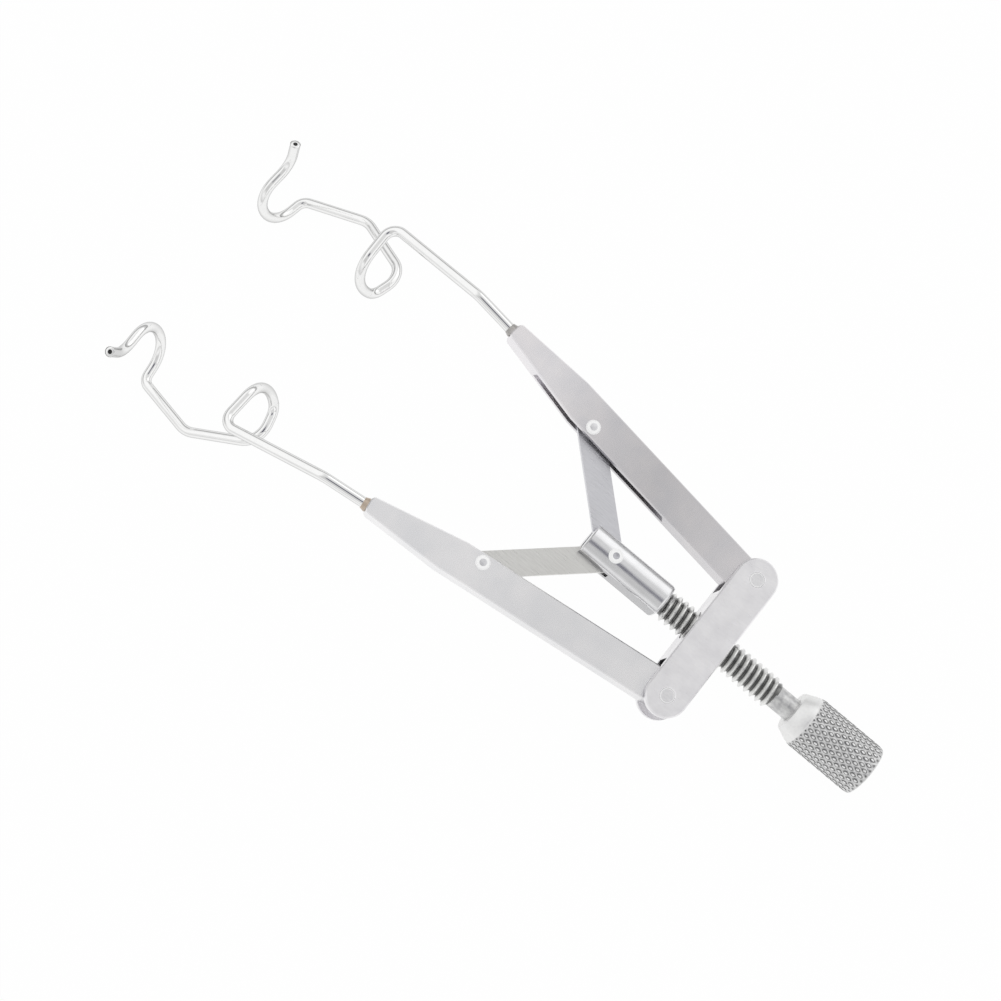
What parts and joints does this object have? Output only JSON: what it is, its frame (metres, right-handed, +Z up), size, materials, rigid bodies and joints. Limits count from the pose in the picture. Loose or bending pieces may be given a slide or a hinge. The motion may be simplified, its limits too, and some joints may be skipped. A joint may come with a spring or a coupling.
{
  "type": "screw-operated eyelid retractor",
  "caption": "Self-retaining eyelid retractor: hinged arms on a yoke, links from a screw-driven collar, bent round-wire blades and a knurled knob.",
  "frame": {"origin": "middle of the yoke, on the lead screw's axis", "axes": "+X along the lead screw towards the blades, +Y to the left arm, +Z up, away from the patient; millimetre geometry in metres"},
  "size_m": [0.0738, 0.0266, 0.0189],
  "materials": {
    "satin_steel": "satin, finely brushed",
    "link_steel": "satin, ground flat",
    "pin_steel": "ground flush with its neighbour",
    "rivet_steel": "polished dome",
    "collar_steel": "turned and polished",
    "screw_steel": "machined thread",
    "knob_steel": "turned, with a diamond knurl",
    "polished_wire": "polished",
    "braze": "silver braze, smoothed"
  },
  "bodies": {
    "yoke": {"yoke": "satin_steel", "pivot_pin_left": "pin_steel", "pivot_pin_right": "pin_steel"},
    "collar": {"collar": "collar_steel", "collar_pin": "rivet_steel", "swivel_pin": "pin_steel"},
    "screw": {"lead_screw": "screw_steel", "knob": "knob_steel"},
    "arm_left": {"arm_left": "satin_steel", "blade_left": "polished_wire", "braze_left": "braze", "link_rivet_left": "rivet_steel"},
    "arm_right": {"arm_right": "satin_steel", "blade_right": "polished_wire", "braze_right": "braze", "link_rivet_right": "rivet_steel"},
    "link_left": {"link_left": "link_steel"},
    "link_right": {"link_right": "link_steel"}
  },
  "joints": [
    {"name": "collar_slide", "type": "slide", "parent": "yoke", "child": "collar", "axis": [1, 0, 0], "range_m": [-0.00159, 0.00317]},
    {"name": "screw_turn", "type": "hinge", "parent": "collar", "child": "screw", "pos_m": [0.007, 0, 0], "axis": [1, 0, 0], "range_deg": [-902, 1802]},
    {"name": "arm_left_pivot", "type": "hinge", "parent": "yoke", "child": "arm_left", "pos_m": [0, 0.0064, 0], "axis": [0, 0, 1], "range_deg": [-4.68, 9.32]},
    {"name": "arm_right_pivot", "type": "hinge", "parent": "yoke", "child": "arm_right", "pos_m": [0, -0.0064, 0], "axis": [0, 0, -1], "range_deg": [-4.68, 9.32]},
    {"name": "link_left_swing", "type": "hinge", "parent": "collar", "child": "link_left", "pos_m": [0.01075, 0, 0], "axis": [0, 0, 1], "range_deg": [-11.73, 23.41]},
    {"name": "link_right_swing", "type": "hinge", "parent": "collar", "child": "link_right", "pos_m": [0.01075, 0, 0], "axis": [0, 0, -1], "range_deg": [-11.73, 23.41]}
  ],
  "couplings": [
    {"joint": "screw_turn", "follows": "collar_slide", "rad_per_m": 9894.8},
    {"joint": "arm_left_pivot", "follows": "collar_slide", "rad_per_m": 51.086},
    {"joint": "arm_right_pivot", "follows": "collar_slide", "rad_per_m": 51.086},
    {"joint": "link_left_swing", "follows": "collar_slide", "rad_per_m": 128.39},
    {"joint": "link_right_swing", "follows": "collar_slide", "rad_per_m": 128.39}
  ]
}
